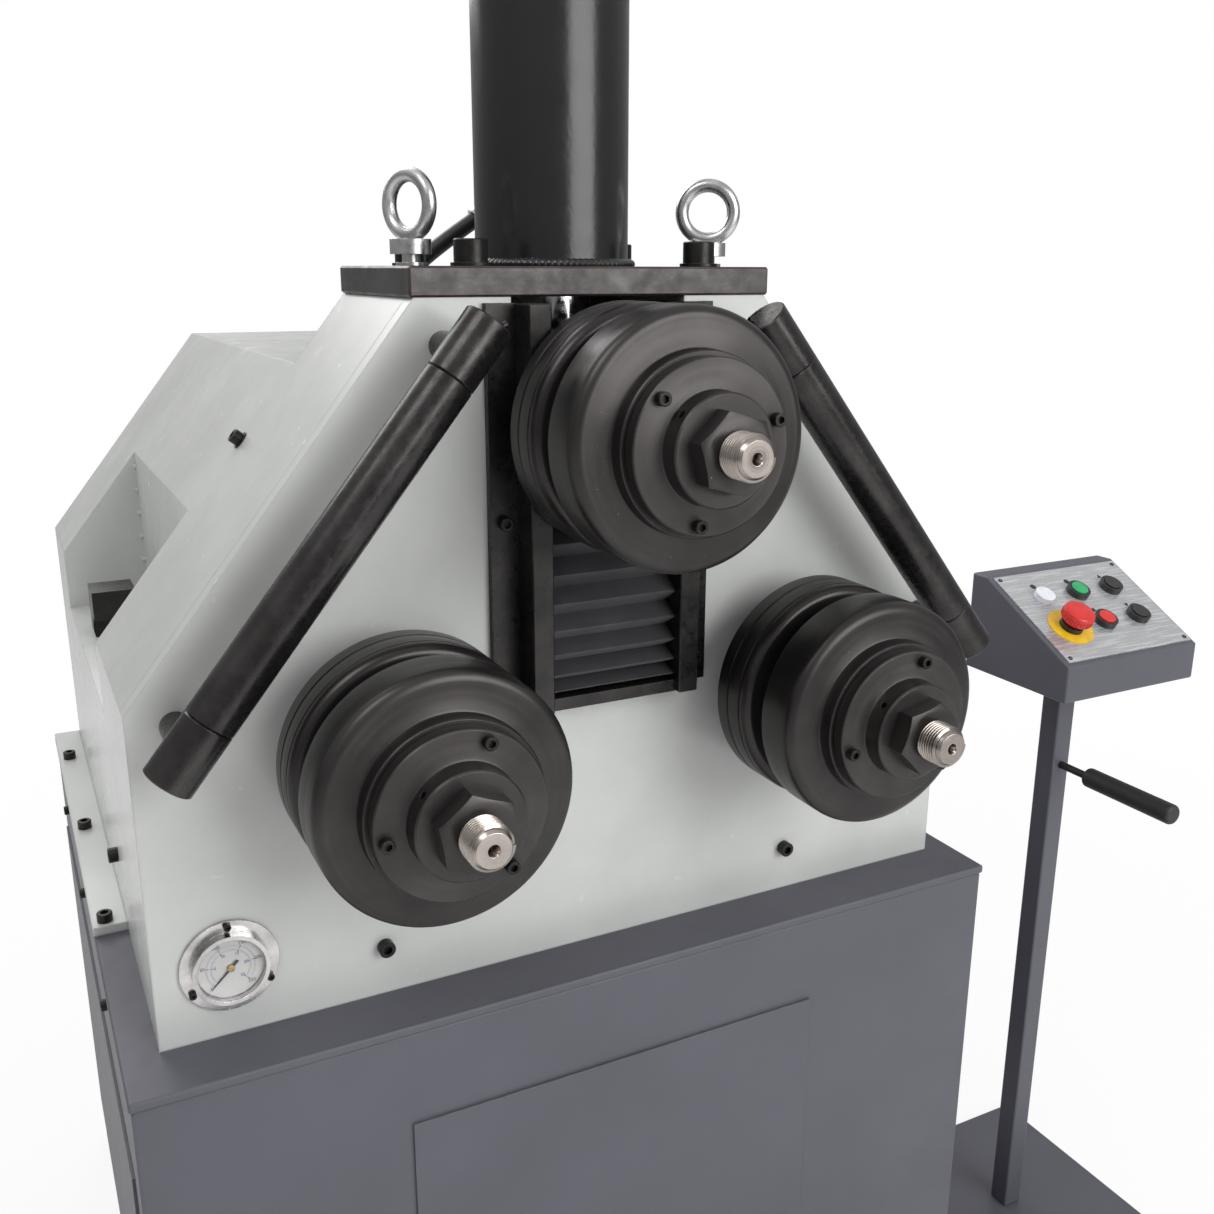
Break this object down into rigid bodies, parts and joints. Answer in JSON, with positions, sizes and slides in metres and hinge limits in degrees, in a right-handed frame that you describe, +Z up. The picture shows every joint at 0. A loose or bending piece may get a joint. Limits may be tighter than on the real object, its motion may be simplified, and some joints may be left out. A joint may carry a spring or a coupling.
{
  "type": "section rolling machine",
  "caption": "Hydraulic section rolling machine: floor cabinet, housing with roll sets on its front, upper roll on a vertical slide, and a separate control console on a post.",
  "frame": {"origin": "on the floor, in the machine's middle plane, under the front plate's face", "axes": "+Z up, +X to the right seen from the front, +Y to the back"},
  "size_m": [1.369, 1.132, 1.8235],
  "materials": {
    "cabinet_paint": "dark grey powder coat, fine texture",
    "housing_paint": "light grey gloss paint",
    "cylinder_paint": "black gloss paint",
    "blackened_steel": "blackened turned steel, oiled",
    "bright_steel": "bare turned steel",
    "zinc_plate": "zinc plated forging",
    "bellows_cloth": "matte coated cloth",
    "gauge_steel": "polished stainless",
    "gauge_glass": "clear flat glass",
    "face_aluminium": "satin sheet",
    "black_plastic": "matte black",
    "green_plastic": "gloss",
    "red_plastic": "gloss",
    "yellow_plastic": "gloss",
    "hose_rubber": "smooth black cover",
    "lamp_lens": "translucent white"
  },
  "bodies": {
    "machine": {"base_cabinet": "cabinet_paint", "base_lid": "cabinet_paint", "base_door": "cabinet_paint", "side_panels": "cabinet_paint", "front_plate": "housing_paint", "housing_body": "housing_paint", "rear_cover": "housing_paint", "foot_flanges": "housing_paint", "guide_bars": "blackened_steel", "guide_strips": "blackened_steel", "slot_sill": "blackened_steel", "slide_bellows": "bellows_cloth", "bearing_left": "blackened_steel", "bearing_right": "blackened_steel", "crown_plate": "blackened_steel", "cylinder_barrel": "cylinder_paint", "cylinder_cap": "cylinder_paint", "crown_screws": "blackened_steel", "lifting_eyes": "zinc_plate", "arm_tube_left": "blackened_steel", "arm_ends_left": "blackened_steel", "arm_tube_right": "blackened_steel", "arm_ends_right": "blackened_steel", "gauge_case": "gauge_steel", "gauge_glass": "gauge_glass", "drive_block": "blackened_steel", "console_box": "cabinet_paint", "console_face": "face_aluminium", "console_post": "cabinet_paint", "console_foot": "cabinet_paint", "console_handle": "black_plastic", "button_bezels": "black_plastic", "power_lamp": "lamp_lens", "stop_ring": "yellow_plastic", "cylinder_hose": "hose_rubber", "hose_fittings": "zinc_plate"},
    "head": {"slide_head": "blackened_steel", "piston_rod": "bright_steel"},
    "upper_rolls": {"upper_shaft": "bright_steel", "upper_rear_roll": "blackened_steel", "upper_front_roll": "blackened_steel", "upper_clamp_rings": "blackened_steel", "upper_lock_nut": "blackened_steel"},
    "left_rolls": {"left_shaft": "bright_steel", "left_rear_roll": "blackened_steel", "left_front_roll": "blackened_steel", "left_clamp_rings": "blackened_steel", "left_lock_nut": "blackened_steel"},
    "right_rolls": {"right_shaft": "bright_steel", "right_rear_roll": "blackened_steel", "right_front_roll": "blackened_steel", "right_clamp_rings": "blackened_steel", "right_lock_nut": "blackened_steel"},
    "start_button": {"start_button": "green_plastic"},
    "stop_button": {"stop_button": "red_plastic"},
    "up_button": {"up_button": "black_plastic"},
    "down_button": {"down_button": "black_plastic"},
    "emergency_stop": {"emergency_stop": "red_plastic"}
  },
  "joints": [
    {"name": "head_slide", "type": "slide", "parent": "machine", "child": "head", "axis": [0, 0, 1], "range_m": [-0.15, 0], "deforming": ["slide_bellows"]},
    {"name": "upper_roll_spin", "type": "hinge", "parent": "head", "child": "upper_rolls", "pos_m": [0, -0.1, 1.2385], "axis": [0, 1, 0], "continuous": true},
    {"name": "left_roll_spin", "type": "hinge", "parent": "machine", "child": "left_rolls", "pos_m": [-0.218, -0.1, 0.966], "axis": [0, 1, 0], "continuous": true},
    {"name": "right_roll_spin", "type": "hinge", "parent": "machine", "child": "right_rolls", "pos_m": [0.218, -0.1, 0.966], "axis": [0, 1, 0], "continuous": true},
    {"name": "start_button_push", "type": "slide", "parent": "machine", "child": "start_button", "axis": [0, 0.4826, -0.8758], "range_m": [0, 0.004], "stiffness_N_per_m": 400, "springref_m": -0.001},
    {"name": "stop_button_push", "type": "slide", "parent": "machine", "child": "stop_button", "axis": [0, 0.4826, -0.8758], "range_m": [0, 0.004], "stiffness_N_per_m": 400, "springref_m": -0.001},
    {"name": "up_button_push", "type": "slide", "parent": "machine", "child": "up_button", "axis": [0, 0.4826, -0.8758], "range_m": [0, 0.004], "stiffness_N_per_m": 400, "springref_m": -0.001},
    {"name": "down_button_push", "type": "slide", "parent": "machine", "child": "down_button", "axis": [0, 0.4826, -0.8758], "range_m": [0, 0.004], "stiffness_N_per_m": 400, "springref_m": -0.001},
    {"name": "emergency_stop_push", "type": "slide", "parent": "machine", "child": "emergency_stop", "axis": [0, 0.4826, -0.8758], "range_m": [0, 0.004]}
  ]
}
